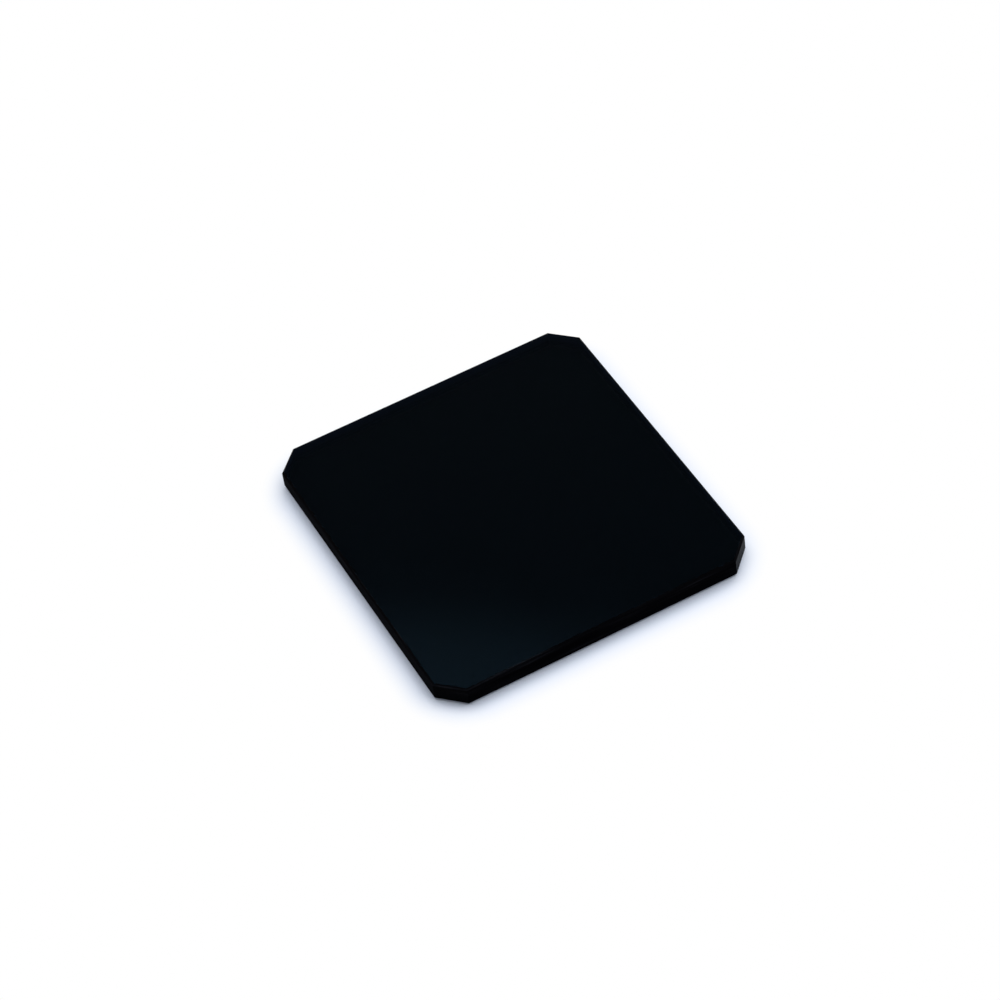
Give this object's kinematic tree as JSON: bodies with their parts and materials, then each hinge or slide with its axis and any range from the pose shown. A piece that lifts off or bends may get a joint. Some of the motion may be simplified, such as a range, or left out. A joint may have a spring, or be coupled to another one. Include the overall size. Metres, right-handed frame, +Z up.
{
  "type": "neutral density filter",
  "caption": "Thin oblong plate of dark neutral glass with cut corners and fine bevelled rims, placed in front of a camera lens to cut the light.",
  "frame": {"origin": "centre of the plate's outline, on its rear face, the face that goes towards the lens", "axes": "+X along the shorter sides, +Y along the longer sides, +Z up through the glass towards the front face"},
  "size_m": [0.024, 0.0264, 0.0015],
  "materials": {
    "dark_glass": "polished on both faces, fine ground on the edges"
  },
  "bodies": {
    "root": {"filter_glass": "dark_glass"}
  },
  "joints": []
}
